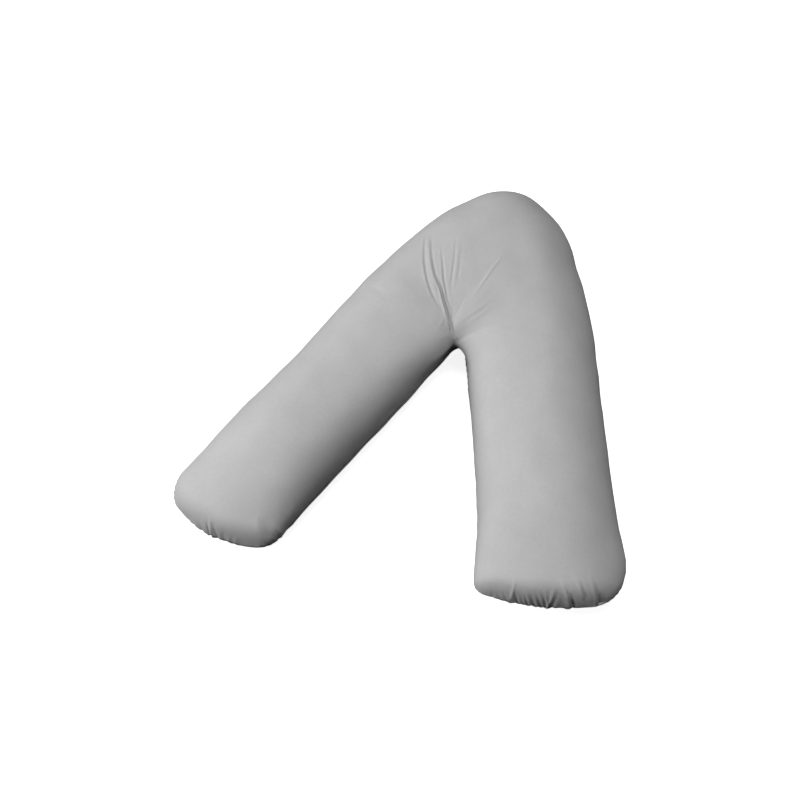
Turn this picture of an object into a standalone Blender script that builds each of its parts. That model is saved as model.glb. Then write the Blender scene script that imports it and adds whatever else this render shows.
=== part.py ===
"""A v-shaped pillow: one plump filled cloth body, bent at its middle into a V.

Frame: metres, +Z up. The middle line of the V runs along Y, with the point of the V at +Y and the
ends of the arms at -Y. The pillow lies on its back on z = 0, with the origin under the middle of its
box. While the body is shaped, places are measured from the crook, the inside corner of the V.

Two cloth panels meet in one seam that runs round the side and closes both ends. The body is made
of sections: each one runs across the pillow from its inner seam to its outer seam and back
underneath. The sections stand square to the arms and fan out about the crook between them.
"""
from collections import namedtuple
from dataclasses import dataclass
import math

import bpy
import numpy as np

# Driving sizes, in metres and degrees
HALF_ANGLE = 20.0      # between the middle line of the V and each arm
BEND_ANGLE = 180.0 - 2.0 * HALF_ANGLE
SEAM_HEIGHT = 0.058    # of the side seam over the floor
CROWN_POWER = 0.95     # below 1 the top is a little fuller than an arch
OUTER_FULLNESS = 2.0   # of the arch at the outer seam, where it is round
BELLY_POWER = 1.1      # above 1 the underside is drawn in below the seam
SOLE_PRESS = 1.30      # above 1 the floor presses the underside flat
END_POWER = 2.4        # how blunt the top of the arms' ends is
UNDER_END_POWER = 2.2  # how blunt the underside of the ends is
BELLY_END_POWER = 1.4  # above 1 the underside is drawn in below the end seams

# How finely the body is divided
ARM_SECTIONS = 9
UNDER_END_SECTIONS = 4
END_SECTIONS = 9
POINTS_ROUND = 72
# Degrees of the bend and the number of sections in each stretch of it, finest where it creases
BEND_STRETCHES = ((0.0, 56.0, 26), (56.0, 116.0, 14), (116.0, BEND_ANGLE, 4))

# Sections of each arm: distance from the crook, the two seams' offsets from the crook's line, the
# height of the crown, and the fullness of the top at the inner seam, 2 where it is round and more
# where it is plump
ArmSection = namedtuple("ArmSection", "along inner outer crown fullness")
LEFT_ARM = (
    ArmSection(along=0.000, inner=0.0155, outer=0.2195, crown=0.157, fullness=3.2),
    ArmSection(along=0.170, inner=0.0190, outer=0.2165, crown=0.154, fullness=2.6),
    ArmSection(along=0.345, inner=0.0240, outer=0.2225, crown=0.156, fullness=2.4),
    ArmSection(along=0.516, inner=0.0235, outer=0.2285, crown=0.134, fullness=2.4),
)
RIGHT_ARM = (
    ArmSection(along=0.000, inner=0.0120, outer=0.239, crown=0.154, fullness=3.0),
    ArmSection(along=0.155, inner=0.0125, outer=0.238, crown=0.151, fullness=2.7),
    ArmSection(along=0.315, inner=0.0105, outer=0.239, crown=0.151, fullness=2.5),
    ArmSection(along=0.467, inner=-0.0040, outer=0.250, crown=0.124, fullness=2.4),
)

# Each end: the radius of its two corners in plan, how far its middle bulges, how far its outer
# corner stands ahead of its inner one, and the lengths over which the top and the underside roll to
# the seam. The bulge and the skew come in over LEAN_LENGTH times the top's length
ArmEnd = namedtuple("ArmEnd", "inner_corner outer_corner bulge skew roll under_roll")
LEFT_END = ArmEnd(0.055, 0.046, bulge=0.012, skew=0.007, roll=0.052, under_roll=0.100)
RIGHT_END = ArmEnd(0.020, 0.068, bulge=0.009, skew=0.015, roll=0.046, under_roll=0.100)
LEAN_LENGTH = 1.6

# Sections of the bend: turn is in degrees from the left arm's side, then come the seams' reaches from
# the crook, the height of the crown and the fullness
BendSection = namedtuple("BendSection", "turn inner outer crown fullness")
BEND = (
    BendSection(turn=0.0, inner=0.0155, outer=0.2195, crown=0.157, fullness=3.2),
    BendSection(turn=17.5, inner=0.0160, outer=0.225, crown=0.157, fullness=3.4),
    BendSection(turn=35.0, inner=0.0170, outer=0.254, crown=0.159, fullness=3.6),
    BendSection(turn=52.5, inner=0.0185, outer=0.303, crown=0.162, fullness=3.8),
    BendSection(turn=70.0, inner=0.0185, outer=0.356, crown=0.163, fullness=4.2),
    BendSection(turn=87.5, inner=0.0175, outer=0.326, crown=0.162, fullness=4.2),
    BendSection(turn=105.0, inner=0.0150, outer=0.275, crown=0.158, fullness=3.8),
    BendSection(turn=122.5, inner=0.0125, outer=0.247, crown=0.155, fullness=3.3),
    BendSection(turn=140.0, inner=0.0120, outer=0.239, crown=0.154, fullness=3.0),
)

# How the arms' tops bulge over the crook: the middle and reach of the bulge, how far the cloth is drawn
# in to the crook and how far the right arm's side laps along a heading in degrees. The lap comes in
# over a stretch of the turn, and both over a stretch of the height
LAP_MIDDLE = (-0.010, 0.024)
LAP_REACH = 0.038
LAP_DRAWN_IN = 0.014
LAP_LENGTH = 0.012
LAP_HEADING = 190.0
LAP_TURNS = (35.0, 95.0)
LAP_HEIGHTS = (0.056, 0.094)

# Creases pressed into the cloth. Each runs through three places, given by turn and reach, and has a
# negative depth where the cloth stands up in a ridge
Crease = namedtuple("Crease", "name turns reaches width depth")
TOP_CREASES = (
    Crease("valley of the bend", (34, 31, 36), (0.170, 0.095, 0.022), width=0.034, depth=0.0015),
    Crease("main fold", (37.5, 30, 16), (0.185, 0.100, 0.024), width=0.0080, depth=0.0055),
    Crease("left fold", (34.5, 23.5, 11.5), (0.188, 0.115, 0.056), width=0.0080, depth=0.0028),
    Crease("third fold", (42, 37.5, 32.5), (0.168, 0.110, 0.045), width=0.0075, depth=0.0025),
    Crease("faint fold", (50.5, 47.5, 41.5), (0.165, 0.118, 0.077), width=0.0080, depth=0.0012),
    Crease("right ridge", (80.9, 78.6, 75.2), (0.156, 0.107, 0.058), width=0.0070, depth=-0.0020),
)
UNDER_CREASES = (
    Crease("under fold", (48, 44, 40), (0.170, 0.100, 0.026), width=0.0090, depth=0.0060),
    Crease("second under fold", (92, 96, 100), (0.140, 0.085, 0.024), width=0.0085, depth=0.0050),
)
RIDGE_SHARE = 0.8      # how strongly the cloth rises in soft ridges beside a crease or gather
CREASE_FADE = 0.6      # below 1 a crease keeps its depth nearly to its ends

# Gathers of the cloth at the end seams: place across the arm, length up the cloth, width, depth
Gather = namedtuple("Gather", "across length width depth")
LEFT_GATHERS = (
    Gather(across=0.133, length=0.036, width=0.0070, depth=0.0016),
    Gather(across=0.104, length=0.038, width=0.0070, depth=0.0018),
    Gather(across=0.038, length=0.085, width=0.0080, depth=0.0014),
)
RIGHT_GATHERS = (
    Gather(across=0.064, length=0.036, width=0.0070, depth=0.0022),
    Gather(across=0.088, length=0.036, width=0.0070, depth=0.0016),
    Gather(across=0.107, length=0.040, width=0.0070, depth=0.0018),
    Gather(across=0.152, length=0.046, width=0.0075, depth=0.0030),
    Gather(across=0.196, length=0.062, width=0.0075, depth=0.0028),
)
GATHER_PEAK = 0.5      # below 1 a gather is deepest near the seam
GATHER_FADE = 1.2      # above 1 a gather starts and ends gently
SEAM_GRIP = 0.008      # height to either side of the seam within which it holds the cloth still
CREASE_STEPS = 32      # places on a crease's curve that distances are measured to

CLOTH_GREY = (0.56, 0.56, 0.56, 1.0)
CLOTH_ROUGHNESS = 0.88


@dataclass
class Sections:
    """Sections of the body in their order, one entry of each array for each section."""

    base: np.ndarray      # foot of the section on the crook's line
    across: np.ndarray    # plan direction from the inner seam to the outer seam
    ahead: np.ndarray     # plan direction to the end of the arm
    inner: np.ndarray
    outer: np.ndarray
    crown: np.ndarray
    fullness: np.ndarray
    closing: np.ndarray   # of the top, 1 where the body is full, 0 at an end seam
    under_closing: np.ndarray
    bulge: np.ndarray
    skew: np.ndarray

    def reversed(self):
        """The same sections in the opposite order."""
        return Sections(**{name: values[::-1] for name, values in vars(self).items()})


def joined(stretches):
    """One run of sections made of several."""
    return Sections(**{name: np.concatenate([getattr(part, name) for part in stretches])
                       for name in vars(stretches[0])})


def smooth_column(rows, along_column, column, at):
    """Read a column between the rows of a table on a smooth curve that is level at both ends."""
    places = np.array([getattr(row, along_column) for row in rows])
    values = np.array([getattr(row, column) for row in rows])
    slopes = np.zeros(len(rows))
    slopes[1:-1] = (values[2:] - values[:-2]) / (places[2:] - places[:-2])
    low = np.clip(np.searchsorted(places, at) - 1, 0, len(rows) - 2)
    step = places[low + 1] - places[low]
    t = (at - places[low]) / step
    ease = t * t * (3.0 - 2.0 * t)
    leave = t * (1.0 - t) ** 2 * step * slopes[low]
    arrive = t * t * (t - 1.0) * step * slopes[low + 1]
    return values[low] * (1.0 - ease) + values[low + 1] * ease + leave + arrive


def read_columns(rows, along_column, at):
    """The inner seam, the outer seam, the crown and the fullness between the rows of a table."""
    columns = ("inner", "outer", "crown", "fullness")
    return [smooth_column(rows, along_column, column, at) for column in columns]


def corner_inset(to_end, radius):
    """How far a round corner draws the seam in, at a distance from the end of the arm."""
    inside = np.clip(1.0 - to_end / radius, 0.0, 1.0)
    return radius * (1.0 - np.sqrt(1.0 - inside * inside))


def arm_sections(side, table, end):
    """Sections of one arm from the crook to its end seam, side -1 for the left arm, 1 for the right."""
    half = math.radians(HALF_ANGLE)
    ahead = np.array([side * math.sin(half), -math.cos(half)])
    across = np.array([side * math.cos(half), math.sin(half)])
    length = table[-1].along
    straight = np.linspace(0.0, length - end.under_roll, ARM_SECTIONS)[:-1]
    under_rolling = np.linspace(length - end.under_roll, length - end.roll, UNDER_END_SECTIONS)[:-1]
    rolling = length - end.roll + end.roll * np.sin(np.linspace(0.0, math.pi / 2.0, END_SECTIONS))
    along = np.concatenate([straight, under_rolling, rolling])
    to_end = length - along
    inner, outer, crown, fullness = read_columns(table, "along", along)
    into_roll = np.clip(1.0 - to_end / end.roll, 0.0, 1.0)
    into_under_roll = np.clip(1.0 - to_end / end.under_roll, 0.0, 1.0)
    lean = np.clip(1.0 - to_end / (LEAN_LENGTH * end.roll), 0.0, 1.0) ** 2
    count = len(along)
    return Sections(
        base=along[:, None] * ahead,
        across=np.tile(across, (count, 1)),
        ahead=np.tile(ahead, (count, 1)),
        inner=inner + corner_inset(to_end, end.inner_corner),
        outer=outer - corner_inset(to_end, end.outer_corner),
        crown=crown,
        fullness=fullness,
        closing=np.sqrt(1.0 - into_roll ** END_POWER),
        under_closing=np.sqrt(1.0 - into_under_roll ** UNDER_END_POWER),
        bulge=end.bulge * lean,
        skew=end.skew * lean,
    )


def bend_sections():
    """Sections of the bend, fanned about the crook from the left arm's side to the right arm's."""
    stretches = [np.linspace(low, high, count + 1)[1:] for low, high, count in BEND_STRETCHES]
    turns = np.concatenate(stretches)[:-1]
    heading = np.radians(180.0 - HALF_ANGLE - turns)
    count = len(turns)
    inner, outer, crown, fullness = read_columns(BEND, "turn", turns)
    return Sections(
        base=np.zeros((count, 2)),
        across=np.stack([np.cos(heading), np.sin(heading)], axis=1),
        ahead=np.zeros((count, 2)),
        inner=inner,
        outer=outer,
        crown=crown,
        fullness=fullness,
        closing=np.ones(count),
        under_closing=np.ones(count),
        bulge=np.zeros(count),
        skew=np.zeros(count),
    )


def arch(over, inner_fullness):
    """Height of the top from 0 at the seams to 1 at the crown, across from -1 inside to 1 outside."""
    inward = ((1.0 - over) / 2.0) ** 2
    fullness = OUTER_FULLNESS + (inner_fullness - OUTER_FULLNESS) * inward
    return (1.0 - np.abs(over) ** fullness) ** (CROWN_POWER / fullness)


def plump_surface(rows):
    """Points of the smooth body: an arched crown over the seam and a pressed belly under it."""
    angle = np.linspace(0.0, 2.0 * math.pi, POINTS_ROUND, endpoint=False)
    over = np.cos(angle)
    lift = np.abs(np.sin(angle))
    middle = (rows.outer + rows.inner) / 2.0
    half = (rows.outer - rows.inner) / 2.0
    offset = middle[:, None] + half[:, None] * over
    forward = rows.bulge[:, None] * (1.0 - over ** 2) + rows.skew[:, None] * over
    plan = rows.base[:, None] + rows.across[:, None] * offset[..., None]
    plan = plan + rows.ahead[:, None] * forward[..., None]
    rise = (rows.crown - SEAM_HEIGHT)[:, None] * arch(over, rows.fullness[:, None]) * rows.closing[:, None]
    under_lift = lift ** BELLY_POWER * rows.under_closing[:, None] ** BELLY_END_POWER
    drop = SEAM_HEIGHT * np.minimum(1.0, SOLE_PRESS * under_lift)
    height = np.where(np.sin(angle) >= 0.0, SEAM_HEIGHT + rise, SEAM_HEIGHT - drop)
    return lapped(np.concatenate([plan, height[..., None]], axis=2))


def smooth_step(value, low, high):
    """0 below low, 1 above high and a smooth curve between them."""
    t = np.clip((value - low) / (high - low), 0.0, 1.0)
    return t * t * (3.0 - 2.0 * t)


def lapped(points):
    """The points with the arms' tops drawn over the crook, the right arm's side farther."""
    away = np.hypot(points[..., 0], points[..., 1])
    heading = (np.degrees(np.arctan2(points[..., 1], points[..., 0])) + 90.0) % 360.0 - 90.0
    from_middle = np.hypot(points[..., 0] - LAP_MIDDLE[0], points[..., 1] - LAP_MIDDLE[1])
    near = np.exp(-(from_middle / LAP_REACH) ** 2) * smooth_step(points[..., 2], *LAP_HEIGHTS)
    side = smooth_step(180.0 - HALF_ANGLE - heading, *LAP_TURNS)
    lap = math.radians(LAP_HEADING)
    inward = -points[..., :2] / np.maximum(away, 1e-6)[..., None]
    result = points.copy()
    result[..., :2] += inward * (LAP_DRAWN_IN * near)[..., None]
    result[..., :2] += np.array([math.cos(lap), math.sin(lap)]) * (LAP_LENGTH * near * side)[..., None]
    return result


def surface_normals(points):
    """Unit normals of the grid of points, pointing out of the body."""
    lengthways = np.gradient(points, axis=0)
    around = np.roll(points, -1, axis=1) - np.roll(points, 1, axis=1)
    normals = np.cross(around, lengthways)
    size = np.linalg.norm(normals, axis=2, keepdims=True)
    return normals / np.maximum(size, 1e-9)


def through_three(values, t):
    """Value on the parabola through three values, at t from 0 at the first to 1 at the third."""
    first, second, third = values
    return first * (1.0 - t) * (1.0 - 2.0 * t) + second * 4.0 * t * (1.0 - t) + third * t * (2.0 * t - 1.0)


def crease_curve(crease, over_seam):
    """Places along a crease, on the crown or, with over_seam False, on the floor under the pillow."""
    t = np.linspace(0.0, 1.0, CREASE_STEPS)
    turn, reach = through_three(crease.turns, t), through_three(crease.reaches, t)
    heading = np.radians(180.0 - HALF_ANGLE - turn)
    if not over_seam:
        return t, np.stack([reach * np.cos(heading), reach * np.sin(heading), np.zeros(CREASE_STEPS)], axis=1)
    nearest_turn = np.clip(turn, 0.0, BEND_ANGLE)
    inner, outer, crown, fullness = read_columns(BEND, "turn", nearest_turn)
    offset = reach * np.cos(np.radians(turn - nearest_turn))
    over = np.clip((2.0 * offset - outer - inner) / (outer - inner), -1.0, 1.0)
    height = SEAM_HEIGHT + (crown - SEAM_HEIGHT) * arch(over, fullness)
    return t, lapped(np.stack([reach * np.cos(heading), reach * np.sin(heading), height], axis=1))


def crease_depth(points, crease, over_seam):
    """Depth of one crease at the points: a soft trough with low ridges, fading out at both ends."""
    t, curve = crease_curve(crease, over_seam)
    away = np.linalg.norm(points[:, :, None] - curve, axis=3)
    nearest = np.argmin(away, axis=2)
    u = np.min(away, axis=2) / crease.width
    fade = np.maximum(np.sin(math.pi * t[nearest]), 0.0) ** CREASE_FADE
    return crease.depth * fade * (1.0 - RIDGE_SHARE * u * u) * np.exp(-u * u)


def gather_depth(offset, up_cloth, gather):
    """Depth of one gather: deepest a little above the end seam, fading out up the cloth."""
    u = (offset - gather.across) / gather.width
    v = np.clip(up_cloth / gather.length, 0.0, 1.0)
    along = np.maximum(np.sin(math.pi * v ** GATHER_PEAK), 0.0) ** GATHER_FADE
    return gather.depth * along * (1.0 - RIDGE_SHARE * u * u) * np.exp(-u * u)


def cloth_from_end(points):
    """Distance up the cloth from the first section, along each line of points."""
    steps = np.linalg.norm(np.diff(points, axis=0), axis=2)
    return np.vstack([np.zeros(points.shape[1]), np.cumsum(steps, axis=0)])


def pressed_in(points, rows):
    """Move the points in along their normals by the creases and gathers."""
    normals = surface_normals(points)
    over_seam = points[:, :, 2] > SEAM_HEIGHT
    depth = np.where(over_seam, sum(crease_depth(points, crease, True) for crease in TOP_CREASES),
                     sum(crease_depth(points, crease, False) for crease in UNDER_CREASES))
    offset = np.sum((points[:, :, :2] - rows.base[:, None]) * rows.across[:, None], axis=2)
    for gathers, ordered in ((LEFT_GATHERS, points), (RIGHT_GATHERS, points[::-1])):
        up_cloth = cloth_from_end(ordered)
        up_cloth = up_cloth if ordered is points else up_cloth[::-1]
        for gather in gathers:
            depth = depth + gather_depth(offset, up_cloth, gather)
    moved = points - normals * depth[..., None]
    # The side seam stays where it is, and the underside stays on the floor
    free = np.clip(np.abs(points[:, :, 2] - SEAM_HEIGHT) / SEAM_GRIP, 0.0, 1.0)
    result = points + (moved - points) * free[..., None]
    result[:, :, 2] = np.maximum(result[:, :, 2], 0.0)
    return result


def welded_faces(sections, round_count):
    """Corner numbers of the faces, with the two panels welded along both end seams."""
    number = np.arange(sections * round_count).reshape(sections, round_count)
    partner = (-np.arange(round_count)) % round_count
    for end in (0, sections - 1):
        number[end] = np.minimum(number[end], number[end][partner])
    following = np.roll(number, -1, axis=1)
    quads = np.stack([number[:-1], following[:-1], following[1:], number[1:]], axis=2)
    return quads.reshape(-1, 4)


def origin_under_middle(points):
    """Move the points so that the origin is under the middle of their box."""
    low = points.reshape(-1, 3).min(axis=0)
    high = points.reshape(-1, 3).max(axis=0)
    return points - np.array([(low[0] + high[0]) / 2.0, (low[1] + high[1]) / 2.0, low[2]])


def cloth_material():
    """Light grey brushed cloth."""
    material = bpy.data.materials.new("grey_cloth")
    material.use_nodes = True
    shader = material.node_tree.nodes["Principled BSDF"]
    shader.inputs["Base Color"].default_value = CLOTH_GREY
    shader.inputs["Roughness"].default_value = CLOTH_ROUGHNESS
    shader.inputs["Metallic"].default_value = 0.0
    material.diffuse_color = CLOTH_GREY
    return material


def make_pillow():
    """The whole pillow as one closed body."""
    left = arm_sections(-1, LEFT_ARM, LEFT_END)
    right = arm_sections(1, RIGHT_ARM, RIGHT_END)
    rows = joined([left.reversed(), bend_sections(), right])
    points = origin_under_middle(pressed_in(plump_surface(rows), rows))
    faces = welded_faces(*points.shape[:2])
    used, corners = np.unique(faces, return_inverse=True)
    mesh = bpy.data.meshes.new("pillow")
    mesh.from_pydata(points.reshape(-1, 3)[used].tolist(), [], corners.reshape(-1, 4).tolist())
    mesh.update()
    mesh.shade_smooth()
    mesh.materials.append(cloth_material())
    pillow = bpy.data.objects.new("pillow", mesh)
    bpy.context.scene.collection.objects.link(pillow)
    return pillow


for leftover in list(bpy.data.objects):
    bpy.data.objects.remove(leftover, do_unlink=True)
make_pillow()
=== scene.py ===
import logging
import math
from dataclasses import dataclass, field
from enum import Enum
from typing import Sequence, Tuple, Union

import bpy
import numpy as np
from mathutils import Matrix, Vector


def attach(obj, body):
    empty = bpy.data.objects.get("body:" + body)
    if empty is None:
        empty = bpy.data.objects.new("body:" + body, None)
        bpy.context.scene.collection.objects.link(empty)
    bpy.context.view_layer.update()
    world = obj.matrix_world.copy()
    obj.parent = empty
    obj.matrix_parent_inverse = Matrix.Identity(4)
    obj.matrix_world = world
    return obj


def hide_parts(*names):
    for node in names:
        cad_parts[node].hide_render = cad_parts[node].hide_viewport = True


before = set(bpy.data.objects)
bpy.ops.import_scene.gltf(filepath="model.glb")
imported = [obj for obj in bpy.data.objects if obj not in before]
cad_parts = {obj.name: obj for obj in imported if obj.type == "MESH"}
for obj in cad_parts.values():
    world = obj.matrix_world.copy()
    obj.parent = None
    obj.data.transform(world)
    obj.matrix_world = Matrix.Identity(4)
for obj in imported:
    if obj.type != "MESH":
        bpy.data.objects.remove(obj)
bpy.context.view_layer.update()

LOG = logging.getLogger("v_pillow")

# Degrees from each arm to the middle line, and degrees that the bend turns through between them
HALF_ANGLE = 20.0
BEND_ANGLE = 180.0 - 2.0 * HALF_ANGLE
# Metres from the floor to the side seam
SEAM_HEIGHT = 0.058
# The mesh's own maps that the material reads
CLOTH_PLACE = "cloth_place"
SEAM_AWAY = "seam_away"


class Panel(Enum):
    """The two cloth panels that meet at the side seam."""

    TOP = "top"
    UNDER = "under"


class Ridge(Enum):
    """The side of a fold on which the cloth stands up in a ridge, seen from the crook."""

    LEFT = -1.0
    BOTH = 0.0


@dataclass(frozen=True)
class SectionRow:
    """One section of the body: its place, its two seams, the height of its crown and its fullness.

    place is metres from the crook on an arm and degrees of turn in the bend. fullness is 2 where the
    inner side of the top is round and more where it is plump.
    """

    place: float
    inner: float
    outer: float
    crown: float
    fullness: float


@dataclass(frozen=True)
class ArmEnd:
    """How one arm ends, in metres: its corners, bulge and skew, and the lengths that roll to the seam."""

    inner_corner: float
    outer_corner: float
    bulge: float
    skew: float
    roll: float
    under_roll: float


@dataclass(frozen=True)
class Fold:
    """A crease out from the crook: turn, reach and depth at each place along it; a ridge is negative."""

    places: Tuple[Tuple[float, float, float], ...]
    width: float
    ridge: Ridge = Ridge.BOTH


@dataclass(frozen=True)
class Gather:
    """A small trough up the cloth of an arm's end, over its end seam; a ridge has a negative depth.

    across is its place at the seam, lean its slant up the cloth, and it runs from foot to top.
    """

    across: float
    top: float
    width: float
    depth: float
    lean: float = 0.0
    foot: float = -0.002


def smooth_column(rows: Sequence[SectionRow], column: str, at: np.ndarray) -> np.ndarray:
    """Read a column between the rows on a cubic curve that is level at both ends of the table.

    Args:
        rows: the table.
        column: the name of the value to read.
        at: places along the table.

    Returns:
        The value at each place.
    """
    places = np.array([row.place for row in rows])
    values = np.array([getattr(row, column) for row in rows])
    slopes = np.zeros(len(rows))
    slopes[1:-1] = (values[2:] - values[:-2]) / (places[2:] - places[:-2])
    low = np.clip(np.searchsorted(places, at) - 1, 0, len(rows) - 2)
    step = places[low + 1] - places[low]
    t = (at - places[low]) / step
    ease = t * t * (3.0 - 2.0 * t)
    leave = t * (1.0 - t) ** 2 * step * slopes[low]
    arrive = t * t * (t - 1.0) * step * slopes[low + 1]
    return values[low] * (1.0 - ease) + values[low + 1] * ease + leave + arrive


def smooth_step(value: np.ndarray, low: float, high: float) -> np.ndarray:
    """0 below low, 1 above high and a smooth cubic between them."""
    t = np.clip((value - low) / (high - low), 0.0, 1.0)
    return t * t * (3.0 - 2.0 * t)


def curve_through(places: np.ndarray, count: int) -> np.ndarray:
    """Points on a smooth curve through given places, each column read on a Catmull-Rom spline.

    Args:
        places: the places, one a row.
        count: how many points to return.

    Returns:
        The points, evenly spaced in the places' numbering.
    """
    padded = np.vstack([2.0 * places[0] - places[1], places, 2.0 * places[-1] - places[-2]])
    at = np.linspace(0.0, len(places) - 1.0, count)
    low = np.minimum(at.astype(int), len(places) - 2)
    t = (at - low)[:, None]
    before, here, after, beyond = (padded[low + step] for step in range(4))
    linear = (after - before) * t
    square = (2.0 * before - 5.0 * here + 4.0 * after - beyond) * t ** 2
    cube = (3.0 * (here - after) + beyond - before) * t ** 3
    return here + 0.5 * (linear + square + cube)


def surface_normals(points: np.ndarray) -> np.ndarray:
    """Unit normals of the grid, pointing out of the body.

    Args:
        points: grid that closes round its second axis and whose two panels meet along its end rows.

    Returns:
        The cross product of the steps round and along, made a unit; an end row has both panels' mean.
    """
    lengthways = np.gradient(points, axis=0)
    around = np.roll(points, -1, axis=1) - np.roll(points, 1, axis=1)
    normals = np.cross(around, lengthways)
    partner = (-np.arange(points.shape[1])) % points.shape[1]
    normals[[0, -1]] += normals[[0, -1]][:, partner]
    return normals / np.maximum(np.linalg.norm(normals, axis=2, keepdims=True), 1e-12)


def length_along(points: np.ndarray) -> np.ndarray:
    """Length over the cloth from the left end seam, along each line of the grid."""
    steps = np.linalg.norm(np.diff(points, axis=0), axis=2)
    return np.vstack([np.zeros(points.shape[1]), np.cumsum(steps, axis=0)])


def length_round(points: np.ndarray) -> np.ndarray:
    """Length over the cloth round each section, from its first point to that point again."""
    closed = np.concatenate([points, points[:, :1]], axis=1)
    steps = np.linalg.norm(np.diff(closed, axis=1), axis=2)
    return np.concatenate([np.zeros((len(points), 1)), np.cumsum(steps, axis=1)], axis=1)


@dataclass
class SectionRun:
    """Sections of the body in their order, one entry of each array for each section.

    A section starts at base and runs along across, from its inner to its outer seam. ahead points along
    the arm and is 0 in the bend. middle and half place an end's bulge across the arm, and bulge and skew
    push the section ahead. crown and fullness shape the top. closing and under_closing shrink the top and
    the underside towards an end seam.
    """

    base: np.ndarray
    across: np.ndarray
    ahead: np.ndarray
    inner: np.ndarray
    outer: np.ndarray
    middle: np.ndarray
    half: np.ndarray
    crown: np.ndarray
    fullness: np.ndarray
    closing: np.ndarray
    under_closing: np.ndarray
    bulge: np.ndarray
    skew: np.ndarray

    def reversed(self) -> "SectionRun":
        """The same sections in the opposite order."""
        return SectionRun(**{name: values[::-1] for name, values in vars(self).items()})

    @staticmethod
    def joined(stretches: Sequence["SectionRun"]) -> "SectionRun":
        """One run of sections made of several."""
        parts = {name: [getattr(stretch, name) for stretch in stretches] for name in vars(stretches[0])}
        return SectionRun(**{name: np.concatenate(values) for name, values in parts.items()})


@dataclass(frozen=True)
class CrookLap:
    """How the two arms' tops bulge over the crook, the right one farther than the left one.

    Lengths are metres and directions are degrees. Round centre, the tops are drawn in towards the crook,
    and from the first of the turns to the second they come to lap along heading too. The left arm's
    shoulder beside the crook is pushed over the gap along its own heading. Each move grows from the first
    of its two heights to the second, and shortest keeps the direction of a point at the crook a number.
    """

    centre: Tuple[float, float] = (-0.002, 0.018)
    reach: float = 0.038
    drawn_in: float = 0.010
    lapped: float = 0.028
    turns: Tuple[float, float] = (-10.0, 85.0)
    heights: Tuple[float, float] = (0.070, 0.110)
    heading: float = 225.0
    shoulder: Tuple[float, float] = (-0.034, -0.022)
    shoulder_reach: float = 0.040
    shoulder_push: float = 0.012
    shoulder_heading: float = -20.0
    shoulder_heights: Tuple[float, float] = (0.062, 0.110)
    shortest: float = 1e-6

    @staticmethod
    def share(points: np.ndarray, centre: Tuple[float, float], reach: float,
              heights: Tuple[float, float]) -> np.ndarray:
        """How much of a move each point makes.

        Args:
            points: grid of points, measured from the crook.
            centre: the move's centre in plan.
            reach: how far from the centre the move has fallen to about a third.
            heights: where the move starts and where it is whole.

        Returns:
            A bell of the distance from the centre, times a smooth step between the heights.
        """
        away = np.hypot(points[..., 0] - centre[0], points[..., 1] - centre[1])
        return np.exp(-(away / reach) ** 2) * smooth_step(points[..., 2], *heights)

    @staticmethod
    def direction(heading: float) -> np.ndarray:
        """The unit step in plan along a heading in degrees: its cosine and its sine."""
        turn = math.radians(heading)
        return np.array([math.cos(turn), math.sin(turn)])

    def moved(self, points: np.ndarray) -> np.ndarray:
        """The points with their tops drawn over the crook.

        Args:
            points: grid of points, measured from the crook.

        Returns:
            The points moved in plan: by their share of the draw towards the crook, by the same share
            times a smooth step between the turns along the lap's heading, and by their share of the
            shoulder's push along its own.
        """
        away = np.hypot(points[..., 0], points[..., 1])
        heading = (np.degrees(np.arctan2(points[..., 1], points[..., 0])) + 90.0) % 360.0 - 90.0
        drawn = self.share(points, self.centre, self.reach, self.heights)
        pushed = self.share(points, self.shoulder, self.shoulder_reach, self.shoulder_heights)
        lapping = smooth_step(180.0 - HALF_ANGLE - heading, *self.turns)
        inward = -points[..., :2] / np.maximum(away, self.shortest)[..., None]
        result = points.copy()
        result[..., :2] += inward * (self.drawn_in * drawn)[..., None]
        result[..., :2] += self.direction(self.heading) * (self.lapped * drawn * lapping)[..., None]
        result[..., :2] += self.direction(self.shoulder_heading) * (self.shoulder_push * pushed)[..., None]
        return result


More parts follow.
